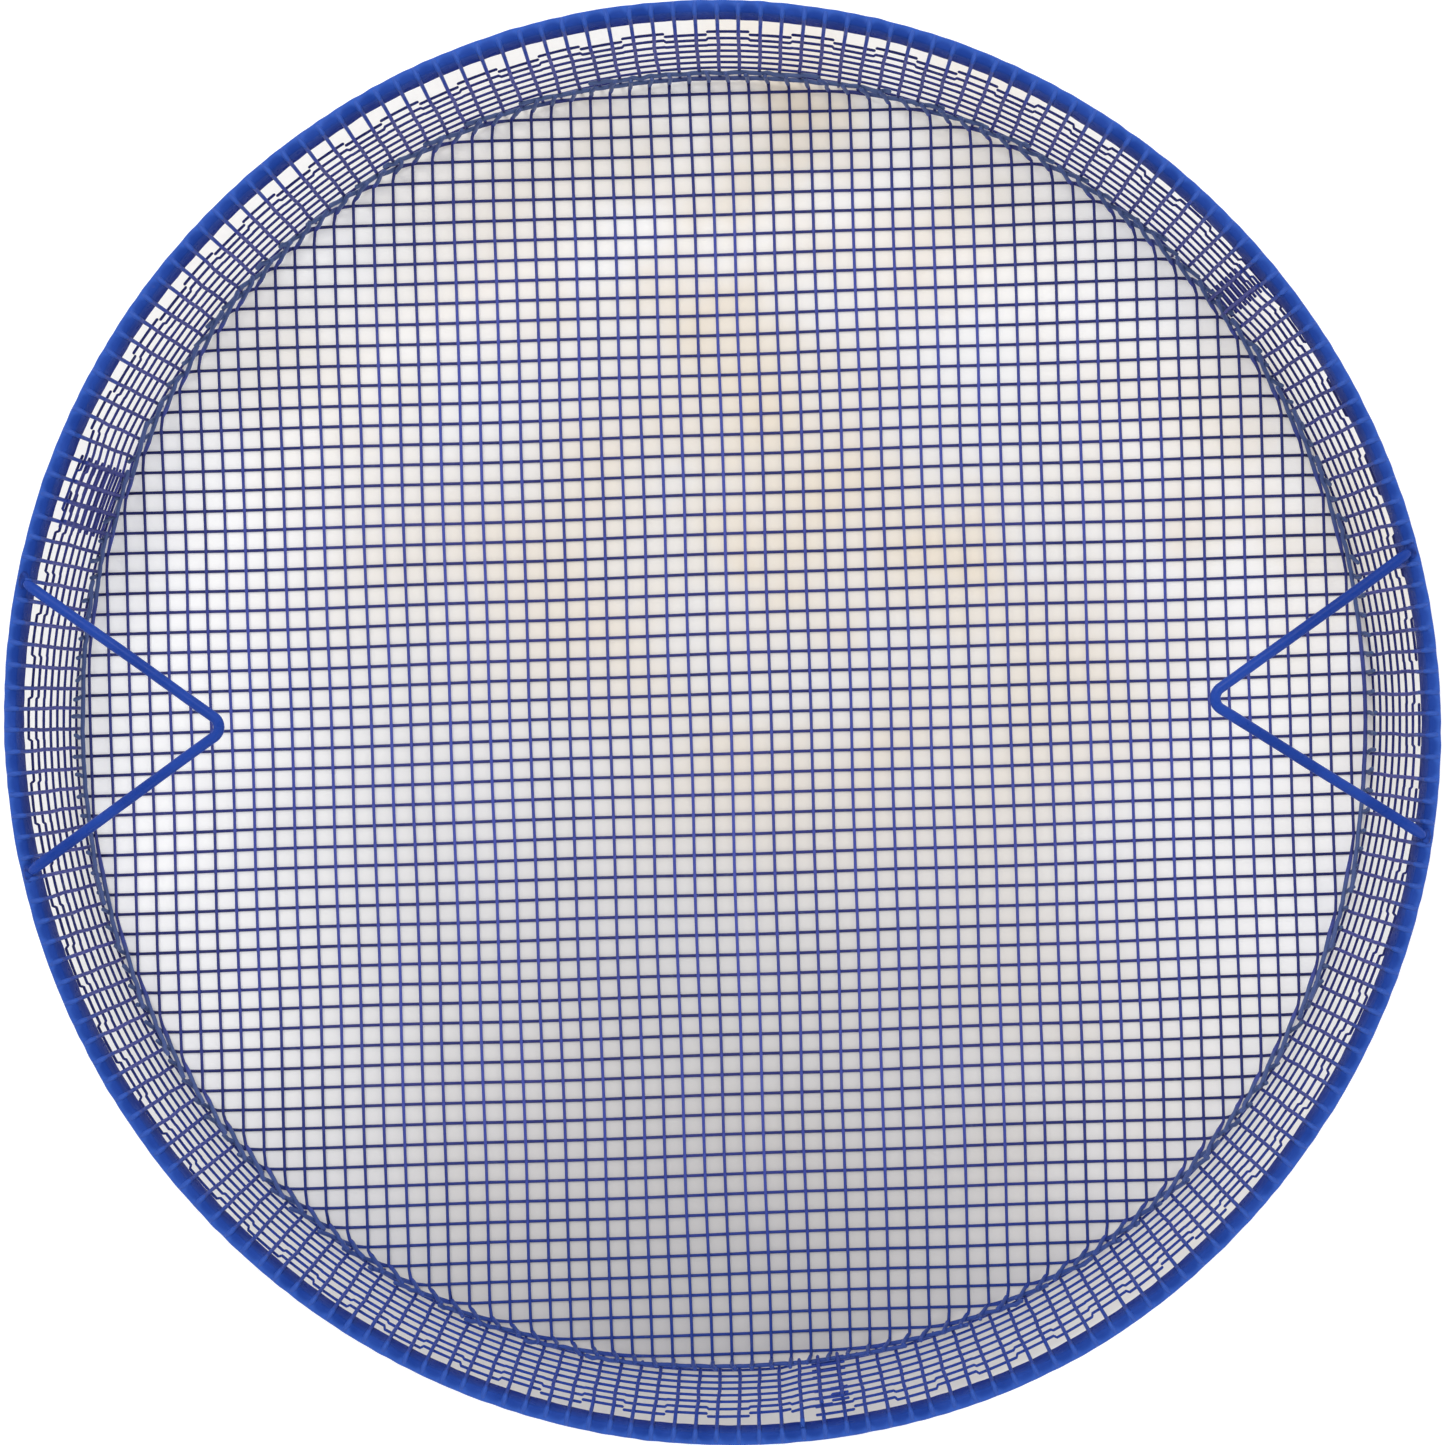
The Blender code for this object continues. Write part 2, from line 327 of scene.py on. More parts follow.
class Coat:
    """A dipped plastic coat over metal, put together from a few procedural layers."""

    def __init__(self, name, specular):
        self.material = bpy.data.materials.new(name)
        self.material.use_nodes = True
        self.nodes = self.material.node_tree.nodes
        self.links = self.material.node_tree.links
        self.shader = self.nodes["Principled BSDF"]
        self.shader.inputs["Specular IOR Level"].default_value = specular
        self.shader.inputs["IOR"].default_value = COAT_IOR
        self.place = self.nodes.new("ShaderNodeTexCoord").outputs["Object"]
        self.colour = None

    def noise(self, size, detail=3.0):
        """Cloudy noise whose patches are about this wide."""
        texture = self.nodes.new("ShaderNodeTexNoise")
        texture.inputs["Scale"].default_value = 1.0 / size
        texture.inputs["Detail"].default_value = detail
        self.links.new(self.place, texture.inputs["Vector"])
        return texture.outputs["Fac"]

    def along(self, axis):
        """Where a point lies along X, Y or Z."""
        parts = self.nodes.new("ShaderNodeSeparateXYZ")
        self.links.new(self.place, parts.inputs["Vector"])
        return parts.outputs[axis]

    def distance(self, place):
        """How far a point lies from a place."""
        gap = self.nodes.new("ShaderNodeVectorMath")
        gap.operation = "DISTANCE"
        self.links.new(self.place, gap.inputs[0])
        gap.inputs[1].default_value = place
        return gap.outputs["Value"]

    def tone(self):
        """The tone that the mesh holds at each point."""
        attribute = self.nodes.new("ShaderNodeAttribute")
        attribute.attribute_name = "tone"
        return attribute.outputs["Fac"]

    def spread(self, value, low, high, out_low=0.0, out_high=1.0):
        """Spreads value from low..high to out_low..out_high, and stops at both ends."""
        stretch = self.nodes.new("ShaderNodeMapRange")
        stretch.interpolation_type = "SMOOTHSTEP"
        self.links.new(value, stretch.inputs["Value"])
        stretch.inputs["From Min"].default_value = low
        stretch.inputs["From Max"].default_value = high
        stretch.inputs["To Min"].default_value = out_low
        stretch.inputs["To Max"].default_value = out_high
        return stretch.outputs["Result"]

    def product(self, first, second):
        """Two values multiplied together."""
        times = self.nodes.new("ShaderNodeMath")
        times.operation = "MULTIPLY"
        self.links.new(first, times.inputs[0])
        self.links.new(second, times.inputs[1])
        return times.outputs["Value"]

    def base(self, colour_a, colour_b, size):
        """The body colour, which drifts between two colours in patches of this size."""
        mix = self.nodes.new("ShaderNodeMix")
        mix.data_type = "RGBA"
        self.links.new(self.spread(self.noise(size), 0.35, 0.65), mix.inputs["Factor"])
        mix.inputs[6].default_value = (*colour_a, 1.0)
        mix.inputs[7].default_value = (*colour_b, 1.0)
        self.colour = mix.outputs[2]

    def cover(self, colour, share):
        """Lays a second colour over the coat where share is high."""
        mix = self.nodes.new("ShaderNodeMix")
        mix.data_type = "RGBA"
        self.links.new(share, mix.inputs["Factor"])
        self.links.new(self.colour, mix.inputs[6])
        mix.inputs[7].default_value = (*colour, 1.0)
        self.colour = mix.outputs[2]

    def shade(self, light, light_share, dark, dark_share):
        """A light colour where the tone is high, and a dark one where it is low."""
        self.cover(light, self.spread(self.tone(), PLAIN_TONE, 1.0, 0.0, light_share))
        self.cover(dark, self.spread(self.tone(), PLAIN_TONE, 0.0, 0.0, dark_share))

    def speckle(self, colour, size, detail, low, high, share):
        """Small worn or dusty patches where fine noise passes from low to high."""
        self.cover(colour, self.spread(self.noise(size, detail), low, high, 0.0, share))

    def skin(self, size, lowest, highest, lumps, depth):
        """Gloss that drifts from lowest to highest roughness, over fine pebbling and lumps."""
        self.links.new(
            self.spread(self.noise(size), 0.3, 0.7, lowest, highest),
            self.shader.inputs["Roughness"],
        )
        height = None
        for width, reach in ((size / 4.0, depth / 3.0), (lumps, depth)):
            bump = self.nodes.new("ShaderNodeBump")
            bump.inputs["Strength"].default_value = BUMP_STRENGTH
            bump.inputs["Distance"].default_value = reach
            self.links.new(self.noise(width, 2.0), bump.inputs["Height"])
            if height is not None:
                self.links.new(height, bump.inputs["Normal"])
            height = bump.outputs["Normal"]
        self.links.new(height, self.shader.inputs["Normal"])

    def done(self):
        """Joins the colour to the shader and gives the material."""
        self.links.new(self.colour, self.shader.inputs["Base Color"])
        return self.material


def hoop_coat():
    """Saturated blue, thick and slightly lumpy, with a painted highlight on its top edges and
    painted shade on its inner face.
    """
    coat = Coat("coat_hoop", specular=0.06)
    coat.base((0.015, 0.053, 0.30), (0.023, 0.070, 0.36), size=14 * MM)
    # The light colour is a painted highlight on the outer top edge and at each fillet; the dark
    # colour is painted shade on the inner face and between the fillets.
    coat.shade((0.045, 0.125, 0.52), 0.85, (0.009, 0.026, 0.22), 0.95)
    coat.speckle(DUST, size=3 * MM, detail=5.0, low=0.66, high=0.82, share=0.25)
    coat.skin(size=4 * MM, lowest=0.24, highest=0.46, lumps=5 * MM, depth=0.35 * MM)
    return coat.done()


def wall_coat():
    """Greyish uprights and dark level wires, all bluer near the hoop, and bluer on the near side as
    painted light.
    """
    coat = Coat("coat_wall", specular=0.3)
    coat.base((0.028, 0.036, 0.20), (0.040, 0.050, 0.25), size=9 * MM)
    coat.shade((0.085, 0.092, 0.37), 0.9, (0.016, 0.020, 0.13), 0.9)
    coat.speckle(DUST, size=2.5 * MM, detail=4.0, low=0.60, high=0.76, share=0.4)
    # Painted light: the near side of the wall is bluer, as if lit.
    near = coat.spread(coat.along("Y"), -60 * MM, -190 * MM, 0.0, 0.75)
    near_hoop = coat.spread(coat.along("Z"), TOP_ROW_HEIGHT, HOOP_FOOT, 0.0, 0.9)
    over_hoop = coat.spread(coat.along("Z"), HOOP_TOP - 1.0 * MM, HOOP_TOP, 0.0, 0.85)
    coat.cover(DIPPED_BLUE, near)
    coat.cover(DIPPED_BLUE, near_hoop)
    coat.cover(RIDGE_BLUE, over_hoop)
    coat.skin(size=1.6 * MM, lowest=0.30, highest=0.52, lumps=2.5 * MM, depth=0.12 * MM)
    return coat.done()


def bottom_coat():
    """Navy, with painted light on the upper layer and on the near side, painted shade on the lower
    layer and towards the edge, and greyer where the edge is turned up.
    """
    coat = Coat("coat_bottom", specular=0.3)
    coat.base((0.032, 0.038, 0.18), (0.044, 0.050, 0.23), size=40 * MM)
    # The light colour is painted light on the upper layer; the dark colour is painted shade on the
    # lower layer and towards the edge of the disc.
    coat.shade((0.078, 0.100, 0.46), 0.95, (0.014, 0.018, 0.070), 0.95)
    turned_up = coat.spread(coat.along("Z"), 1.5 * MM, 4 * MM, 0.0, 0.75)
    # Painted light: the wires on the near side are bluer, as if lit.
    near = coat.spread(coat.along("Y"), -110 * MM, -200 * MM, 0.0, 0.65)
    coat.cover((0.10, 0.15, 0.30), turned_up)
    coat.cover(DIPPED_BLUE, near)
    coat.speckle(DUST, size=2.5 * MM, detail=4.0, low=0.60, high=0.76, share=0.4)
    coat.skin(size=1.6 * MM, lowest=0.28, highest=0.50, lumps=2.5 * MM, depth=0.12 * MM)
    return coat.done()


def handle_coat():
    """The smoothest blue, drawn thin along the rod, with small rubbed marks."""
    coat = Coat("coat_handle", specular=0.25)
    coat.base((0.012, 0.046, 0.29), (0.018, 0.064, 0.37), size=22 * MM)
    coat.speckle((0.06, 0.12, 0.20), size=6 * MM, detail=5.0, low=0.66, high=0.82, share=0.5)
    coat.skin(size=3 * MM, lowest=0.24, highest=0.40, lumps=7 * MM, depth=0.18 * MM)
    return coat.done()


def weld_coat():
    """The coat pooled over a rough weld, darker in patches as painted shade for its hollows."""
    coat = Coat("coat_weld", specular=0.3)
    coat.base((0.008, 0.030, 0.20), (0.018, 0.066, 0.37), size=2.0 * MM)
    coat.skin(size=1.5 * MM, lowest=0.34, highest=0.60, lumps=1.8 * MM, depth=0.30 * MM)
    return coat.done()


def floor_finish():
    """Matt white board with warm stains under the basket, and painted shade under and round the
    basket, most of all on its near side.
    """
    floor = Coat("floor_board", specular=0.2)
    floor.base((0.88, 0.875, 0.855), (0.90, 0.895, 0.875), size=200 * MM)
    away = floor.distance((0.0, 0.0, 0.0))
    # Painted shade: the floor is darker under the middle of the basket, and again in a ring just
    # outside the wall.
    floor.cover((0.68, 0.67, 0.655), floor.spread(away, WALL_RADIUS, 90 * MM))
    floor.cover((0.73, 0.72, 0.70), floor.spread(away, WALL_RADIUS - 5 * MM, WALL_RADIUS))
    smudges = floor.spread(floor.noise(70 * MM), 0.30, 0.70)
    for place, reach, share in STAINS:
        stain = floor.spread(floor.distance(place), reach, 0.0, 0.0, share)
        floor.cover((0.70, 0.60, 0.46), floor.product(stain, smudges))
    # Painted shadow: the floor is darker round the near side of the basket.
    near_shadow = floor.distance(NEAR_SHADOW_MIDDLE)
    floor.cover((0.46, 0.445, 0.435), floor.spread(near_shadow, 270 * MM, 20 * MM))
    floor.cover((0.905, 0.905, 0.905), floor.spread(away, STAIN_AND_SHADE_RADIUS - 6 * MM, STAIN_AND_SHADE_RADIUS))
    floor.skin(size=30 * MM, lowest=0.7, highest=0.9, lumps=5 * MM, depth=0.02 * MM)
    floor.links.new(floor.colour, floor.shader.inputs["Emission Color"])
    floor.shader.inputs["Emission Strength"].default_value = FLOOR_GLOW
    return floor.done()


# ---- hoop ----------------------------------------------------------------------------
def bar_section():
    """The bar's section as (radius, height, tone) points with rounded corners."""
    # The tones paint a highlight on the outer top edge that fades down the outer face, and paint
    # shade down the inner face.
    corners = (
        (HOOP_OUTER, HOOP_TOP, 0.0, 0.95),
        (HOOP_INNER, HOOP_TOP, 90.0, 0.50),
        (HOOP_INNER, HOOP_FOOT, 180.0, 0.0),
        (HOOP_OUTER, HOOP_FOOT, 270.0, 0.4),
    )
    middle_radius = (HOOP_OUTER + HOOP_INNER) / 2
    middle_height = (HOOP_TOP + HOOP_FOOT) / 2
    section = []
    for radius, height, start, tone in corners:
        centre_radius = radius - math.copysign(HOOP_CORNER, radius - middle_radius)
        centre_height = height - math.copysign(HOOP_CORNER, height - middle_height)
        for step in range(HOOP_CORNER_POINTS):
            turn = math.radians(start + 90.0 * step / (HOOP_CORNER_POINTS - 1))
            point_radius = centre_radius + HOOP_CORNER * math.cos(turn)
            point_height = centre_height + HOOP_CORNER * math.sin(turn)
            section.append((point_radius, point_height, tone))
    return section


def upright_angles():
    """The directions of all the uprights that bend out over the hoop."""
    angles = []
    for start, square_angle, lap, _ in PANELS.values():
        standing = np.arange(math.ceil(PANEL_SQUARES - lap))
        angles.append(start + standing * square_angle)
    return np.concatenate(angles)


def coat_thickness(angles, section, fillet):
    """How thick the coat is at every point of the hoop."""
    rng = np.random.default_rng(11)
    sides = len(section)
    faces_out = section[:, 0] > HOOP_OUTER - HOOP_EDGE
    on_top = section[:, 1] > HOOP_TOP - HOOP_EDGE
    thickness = np.full((len(angles), sides), HOOP_COAT) + HOOP_OUTER_COAT * faces_out
    for _ in range(COAT_WAVES):
        waves = rng.integers(*COAT_WAVE_RANGE)
        lean = rng.uniform(0.0, 2.0 * math.pi)
        slant = rng.uniform(-2.0, 2.0) * math.pi * np.arange(sides) / sides
        thickness += COAT_WAVE * np.sin(waves * angles[:, None] + lean + slant[None, :])
    return thickness + FILLET_HEIGHT * fillet[:, None] * (on_top & ~faces_out)


def build_hoop(material):
    """The flat bar, bent slightly out of round. Its coat is uneven and builds up at each wire."""
    angles = np.linspace(0.0, 2.0 * math.pi, HOOP_STEPS, endpoint=False)
    section = np.array(bar_section())
    middle = np.array(((HOOP_OUTER + HOOP_INNER) / 2, (HOOP_TOP + HOOP_FOOT) / 2))
    apart = np.mod(angles[:, None] - upright_angles() + math.pi, 2.0 * math.pi) - math.pi
    fillet = np.exp(-((apart * HOOP_INNER / FILLET_WIDTH) ** 2)).max(axis=1)
    thickness = coat_thickness(angles, section, fillet)
    outward = unit(section[:, :2] - middle)
    radius = section[:, 0] + thickness * outward[:, 0]
    height = section[:, 1] + thickness * outward[:, 1]
    rings = spot(radius * oval(angles)[:, None], angles[:, None], height)
    on_top = section[:, 1] > HOOP_TOP - HOOP_EDGE
    # Painted highlight on the top at each fillet, and painted shade on the top between them.
    tones = section[:, 2] + (FILLET_HIGHLIGHT * fillet[:, None] - TOP_SHADE_DROP) * on_top
    hoop = WireMesh()
    # Section points run counter-clockwise in (radius, height), which is clockwise about the
    # way the angles go, so they are listed backwards.
    hoop.add_rings(rings[:, ::-1], tones[:, ::-1], closed=True)
    return hoop.build("hoop_bar", material, "coat_hoop", "rim_hoop")


# ---- wall ----------------------------------------------------------------------------
def zigzag(square):
    """+1 or -1 in turn, two squares each, changing over in the middle of a square."""
    place = np.mod(np.asarray(square) + 0.5 + JOG, 4.0)
    return 2.0 * (ease(place / (2.0 * JOG)) - ease((place - 2.0) / (2.0 * JOG))) - 1.0


def lean_at(leans, square):
    """How far the top row leans outwards at a square: a curve through three values."""
    start, middle, end = leans
    share = square / PANEL_SQUARES
    return start + share * (4.0 * middle - 3.0 * start - end) + share**2 * (
        2.0 * start + 2.0 * end - 4.0 * middle
    )


def wall_point(panel, square, height, outside=0.0):
    """Points of a panel: squares along it, heights above the floor, and how far outside."""
    start, square_angle, lap, leans = PANELS[panel]
    square = np.asarray(square, float)
    height = np.asarray(height, float)
    angle = start + square * square_angle
    lapped = ease((square - (PANEL_SQUARES - lap - LAP_RUN)) / LAP_RUN)
    row = np.clip((height - ROW_FOOT) / PITCH, 0.0, TOP_ROW)
    upright = np.minimum(height / TOP_ROW_HEIGHT, 1.0)
    ripple = RIPPLE * zigzag(square) * np.interp(row, range(TOP_ROW + 1), RIPPLE_BY_ROW)
    below = WALL_RADIUS + lean_at(leans, square) * upright + ripple
    against_hoop = HOOP_INNER * oval(angle) - UPRIGHT_WIRE
    climb = ease((height - TOP_ROW_HEIGHT) / (HOOP_FOOT + 0.5 * MM - TOP_ROW_HEIGHT))
    radius = below + (against_hoop - below) * climb * (1.0 - lapped)
    radius = radius + outside - LAP_DEPTH * lapped
    lift = LAP_LIFT * lapped + RIPPLE_LIFT * ripple
    return spot(radius, angle, height + lift)


def crossings(count):
    """Places along a wire that crosses count others, in pitches, and the swell at each."""
    reach = SWELL_REACH / PITCH
    places = (np.arange(count)[:, None] + np.array((-reach, 0.0, reach))).ravel()
    swell = np.tile((1.0, SWELL, 1.0), count)
    return places, swell


def is_cut(angle):
    """Whether the top row is cut into pieces at this angle."""
    turned = math.degrees(angle) % 360.0
    return any(low <= turned <= high or low <= turned + 360.0 <= high for low, high in CUT_STRETCHES)


def level_places(row, first, last):
    """Places along a level wire, in squares, with a swell at each upright."""
    marks, swells = crossings(PANEL_SQUARES + 1)
    if row > TOP_ROW - JOGGED_ROWS:
        jogs = np.arange(0.5, PANEL_SQUARES)
        jogs = (jogs[:, None] + np.array((-JOG, 0.0, JOG))).ravel()
        marks = np.concatenate((marks, jogs))
        swells = np.concatenate((swells, np.ones(len(jogs))))
    order = np.argsort(marks)
    marks, swells = marks[order], swells[order]
    inside = (marks > first + 0.02) & (marks < last - 0.02)
    marks = np.concatenate(([first], marks[inside], [last]))
    swells = np.concatenate(([1.0], swells[inside], [1.0]))
    return marks, swells


def add_level_run(wires, panel, row, first, last, rng):
    """One level wire of a panel between two places along it, in squares."""
    marks, swells = level_places(row, first, last)
    height = ROW_FOOT + row * PITCH + LEVEL_SAG * wander(rng, len(marks), 2 + len(marks) // 9)
    path = wall_point(panel, marks, height, outside=LEVEL_RADIUS_GAP)
    radii = LEVEL_WIRE * swells * (1.0 + 0.04 * rng.uniform(-1.0, 1.0, len(marks)))
    lap_start = PANEL_SQUARES - PANELS[panel][2] - LAP_RUN
    tone = LEVEL_TONE + 0.10 * rng.uniform(-1.0, 1.0) + 0.3 * (swells - 1.0) / (SWELL - 1.0)
    tone = tone + LAP_TONE * ease((marks - lap_start) / LAP_RUN)
    wires.sweep(path, radii, UP, tone)


def add_levels(wires, panel, rng):
    """All level wires of a panel. The top one is cut into short pieces in places."""
    start, square_angle, _, _ = PANELS[panel]
    gap = CUT_GAP / PITCH / 2
    panel_end = PANEL_SQUARES + LEVEL_END
    for row in range(TOP_ROW):
        add_level_run(wires, panel, row, -LEVEL_END, panel_end, rng)
    piece_start = -LEVEL_END
    for cut in np.arange(1.5, PANEL_SQUARES, 2.0):
        if is_cut(start + cut * square_angle):
            add_level_run(wires, panel, TOP_ROW, piece_start, cut - gap, rng)
            piece_start = cut + gap
    add_level_run(wires, panel, TOP_ROW, piece_start, panel_end, rng)


def add_uprights(wires, panel, rng):
    """The uprights, each bent out over the hoop except in the lapped end."""
    start, square_angle, lap, _ = PANELS[panel]
    places, swell = crossings(TOP_ROW + 1)
    heights = ROW_FOOT + places * PITCH
    heights[0] = UPRIGHT_FOOT
    for square in range(PANEL_SQUARES + 1):
        lapped = square > PANEL_SQUARES - lap - 0.5
        sway = UPRIGHT_SWAY * wander(rng, len(heights), 5) + 0.02 * rng.uniform(-1.0, 1.0)
        body = wall_point(panel, square + sway, heights)
        radii = UPRIGHT_WIRE * swell * (1.0 + UNEVEN_WIRE * rng.uniform(-1.0, 1.0, len(swell)))
        tone = UPRIGHT_TONE + 0.12 * rng.uniform(-1.0, 1.0) + 0.15 * (swell - 1.0) / (SWELL - 1.0)
        angle = start + square * square_angle
        if not lapped:
            body, radii, tone = add_turnover(body, radii, tone, panel, square + sway[-1], rng)
        tangential = np.array((-math.sin(angle), math.cos(angle), 0.0))
        wires.sweep(body, radii, tangential, tone)


def add_turnover(body, radii, tone, panel, square, rng):
    """Carries an upright up the inside of the hoop and out over its top."""
    start, square_angle, _, _ = PANELS[panel]
    rise_heights = np.linspace(TOP_ROW_HEIGHT + 2.0 * MM, HOOP_TOP - TURNOVER_BEND, 7)
    rise = wall_point(panel, square, rise_heights)
    angle = start + square * square_angle
    inner = HOOP_INNER * oval(angle)
    reach = TURNOVER * rng.uniform(0.8, 1.15)
    turns = np.linspace(0.0, math.pi / 2, 5)
    arc_radius = inner - UPRIGHT_WIRE + TURNOVER_BEND * (1.0 - np.cos(turns))
    arc_height = HOOP_TOP + UPRIGHT_WIRE - TURNOVER_BEND * (1.0 - np.sin(turns))
    arc = spot(arc_radius, angle, arc_height)
    end_radius = inner + reach
    slant = rng.uniform(-1.0, 1.0) * TURNOVER_SLANT / end_radius
    tail = spot(
        np.array((inner + 0.6 * reach, end_radius)),
        angle + np.array((0.4, 1.0)) * slant,
        HOOP_TOP + np.array((0.30, 0.02)) * MM,
    )
    path = np.vstack((body, rise, arc, tail))
    extra = len(path) - len(body)
    thicker = np.linspace(1.0, TURNOVER_SWELL, extra) * UPRIGHT_WIRE
    radii = np.concatenate((radii, thicker))
    return path, radii, np.concatenate((tone, np.full(extra, TURNOVER_TONE)))


def build_wall(material):
    """The three panels, one piece each."""
    for number, panel in enumerate(PANELS):
        rng = np.random.default_rng(31 + number)
        wires = WireMesh()
        add_levels(wires, panel, rng)
        add_uprights(wires, panel, rng)
        wires.build(f"wall_mesh_{panel}", material, "coat_wall", f"wall_panel_{panel}")


# ---- bottom --------------------------------------------------------------------------
def warp(points):
    """The slight stretch and waviness of the whole sheet, the same for both layers of wires."""
    x, y = points[:, 0], points[:, 1]
    shifts = [
        sum(height * np.sin(x * by_x + y * by_y + phase) for height, by_x, by_y, phase in waves)
        for waves in SHEET_WAVES
    ]
    return points * GRID_STRETCH + np.stack(shifts, axis=-1)


def pan(points, level, crumple):
    """Lays flat points of the sheet on the floor, and turns up those past the bend."""
    reach = np.linalg.norm(points, axis=1)
    past = np.maximum(reach - BEND_START, 0.0)
    turn = np.minimum(past / BEND_RADIUS, math.pi / 2)
    climb = np.maximum(past - BEND_LENGTH, 0.0)
    curl = BEND_RADIUS - level
    radius = np.minimum(reach, BEND_START) + curl * np.sin(turn)
    height = BEND_RADIUS - curl * np.cos(turn) + climb
    angle = np.arctan2(points[:, 1], points[:, 0])
    loose = ease(past / (BEND_LENGTH + LIP_HEIGHT))
    radius = radius - loose * np.abs(crumple[0])
    angle = angle + loose * crumple[1] / reach
    return spot(radius, angle, height + loose * crumple[2])


def sheet_marks(half_length, offset, phase):
    """Places along one wire of the sheet, closer together where it bends up, with swells."""
    count = math.ceil(half_length / PITCH) + 1
    nodes = (np.arange(-count, count + 1) + phase) * PITCH
    marks = (nodes[:, None] + np.array((-SWELL_REACH, 0.0, SWELL_REACH))).ravel()
    swells = np.tile((1.0, SWELL, 1.0), len(nodes))
    flat_half = math.sqrt(max((BEND_START - BOTTOM_WIRE) ** 2 - offset**2, 0.0))
    keep = np.abs(marks) < flat_half
    fine_start = flat_half if flat_half > 0.0 else FINE_STEP / 2
    fine = np.arange(fine_start, half_length, FINE_STEP)
    marks = np.concatenate((marks[keep], fine, -fine))
    swells = np.concatenate((swells[keep], np.ones(2 * len(fine))))
    order = np.argsort(marks)
    return marks[order], swells[order]


def add_sheet_wire(wires, layer, along, aside, offset, cut, rng):
    """One wire of the sheet, this far off its middle, cut off at this radius."""
    level, layer_light_and_shade = LAYERS[layer]
    half_length = math.sqrt(cut**2 - offset**2)
    marks, swells = sheet_marks(half_length, offset, GRID_PHASE[layer])
    flat = warp(marks[:, None] * along + offset * aside)
    flat = flat + aside * (WIRE_WANDER * wander(rng, len(marks), 30))[:, None]
    crumple = [size * wander(rng, len(marks), 2 + len(marks) // 6) for size in CRUMPLE]
    path = pan(flat, level, crumple)
    reach = np.linalg.norm(flat, axis=1)
    lip = ease((reach - BEND_START) / BEND_LENGTH)
    radii = BOTTOM_WIRE * swells * (1.0 + UNEVEN_WIRE * rng.uniform(-1.0, 1.0, len(marks)))
    radii = radii * (1.0 + LIP_SWELL * lip)
    # Painted shade darkens the flat wires towards the edge of the disc.
    darker = ease((reach - EDGE_SHADE_SPAN[0]) / (EDGE_SHADE_SPAN[1] - EDGE_SHADE_SPAN[0]))
    tone = layer_light_and_shade + 0.08 * rng.uniform(-1.0, 1.0) + 1.2 * (swells - 1.0)
    tone = tone * (1.0 - EDGE_SHADE_MOST * darker * (1.0 - lip))
    wires.sweep(path, radii, np.array((*aside, 0.0)), tone)


def build_bottom(material):
    """The sheet, as its lower layer of wires along X and its upper layer along Y."""
    turned = np.array(
        ((math.cos(GRID_TURN), math.sin(GRID_TURN)), (-math.sin(GRID_TURN), math.cos(GRID_TURN)))
    )
    limit = math.ceil(FLAT_RADIUS / PITCH)
    for layer, name in enumerate(("bottom_wires_lower", "bottom_wires_upper")):
        rng = np.random.default_rng(51 + layer)
        wires = WireMesh()
        along, aside = turned[layer], turned[1 - layer]
        cuts = FLAT_RADIUS / GRID_STRETCH.max() + rng.uniform(*CUT_UNEVEN, 2 * limit + 1)
        for number, cut in zip(range(-limit, limit + 1), cuts):
            offset = (number + GRID_PHASE[1 - layer]) * PITCH
            if abs(offset) <= cut - SHORTEST_WIRE_GAP:
                add_sheet_wire(wires, layer, along, aside, offset, cut, rng)
        wires.build(name, material, "coat_bottom", "bottom_mesh")


# ---- handles -------------------------------------------------------------------------
def weld_place(node):
    """Where a weld sits on the bent hoop, over the inner half of the bar's top."""
    low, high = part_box(node)
    middle = (low + high) / 2
    angle = math.atan2(middle.y, middle.x)
    return spot((HOOP_INNER + WELD_INSET) * oval(angle), angle, HOOP_TOP)


def handle_path(side):
    """The rod's centre line: on the hoop, round its corner over the basket, on the hoop."""
    low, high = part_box(f"handle_{side}")
    rod = (high.z - low.z) / 2
    direction, reach = CORNERS[side]
    corner = spot(reach, direction, 0.0)[:2]
    welds = [weld_place(f"weld_{side}_{letter}")[:2] for letter in "ab"]
    arms = [unit(weld - corner) for weld in welds]
    ends = [weld - arm * WELD_GAP for weld, arm in zip(welds, arms)]
    half_angle = math.acos(arms[0] @ arms[1]) / 2
    centre = corner + unit(arms[0] + arms[1]) * ROD_BEND / math.sin(half_angle)
    spokes = [corner + arm * ROD_BEND / math.tan(half_angle) - centre for arm in arms]
    shares = np.linspace(0.0, 1.0, ROD_BEND_STEPS)[:, None]
    bend = centre + ROD_BEND * unit(spokes[0] * (1.0 - shares) + spokes[1] * shares)
    shares = np.linspace(0.0, 1.0, ARM_STEPS)[:, None]
    first_arm = ends[0] + (bend[0] - ends[0]) * shares
    last_arm = bend[-1] + (ends[1] - bend[-1]) * shares
    flat = np.vstack((first_arm[:-1], bend, last_arm[1:]))
    dip = ease((np.linalg.norm(flat, axis=1) - HOOP_INNER + DIP_START) / DIP_RUN)
    level = (low.z + high.z) / 2
    resting = HOOP_TOP + DIP_REST * rod
    return np.column_stack((flat, level + (resting - level) * dip)), rod


def build_handle(side, material):
    """One bent rod, not quite straight and not quite even."""
    rng = np.random.default_rng(71 + len(side))
    path, rod = handle_path(side)
    sways = [wander(rng, len(path), 9) for _ in range(2)]
    path[:, :2] += ROD_WANDER * np.stack(sways, axis=-1)
    radii = rod * (1.0 + UNEVEN_ROD * wander(rng, len(path), 40))
    radii[:2] *= (0.75, 0.95)
    radii[-2:] *= (0.95, 0.75)
    wires = WireMesh()
    wires.sweep(path, radii, UP, PLAIN_TONE, sides=ROD_SIDES)
    wires.build(f"handle_rod_{side}", material, "coat_handle", f"handle_{side}")


